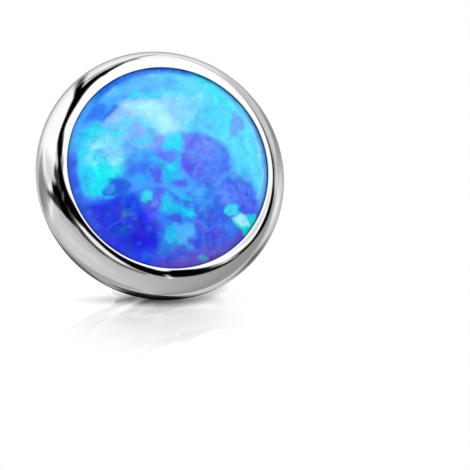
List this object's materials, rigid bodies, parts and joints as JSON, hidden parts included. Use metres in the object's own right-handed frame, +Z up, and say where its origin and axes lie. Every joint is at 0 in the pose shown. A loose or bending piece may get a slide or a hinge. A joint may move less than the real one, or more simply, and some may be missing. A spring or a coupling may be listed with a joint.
{
  "type": "dermal anchor top",
  "caption": "Screw-on jewellery top for a dermal anchor: a domed blue opal cabochon in a round polished steel bezel with a threaded post behind.",
  "frame": {"origin": "on the surface it rests on, at the middle of the footprint of its box", "axes": "+Z up, +X across the head, parallel to the surface; the stone faces -Y and up, and the post points +Y and down"},
  "size_m": [0.005, 0.0042, 0.0041],
  "materials": {
    "polished_steel": "mirror-polished surgical steel, satin on the flat back",
    "blue_opal": "glossy domed synthetic opal with blue, turquoise and violet flakes"
  },
  "bodies": {
    "root": {"setting": "polished_steel", "opal_stone": "blue_opal"}
  },
  "joints": []
}
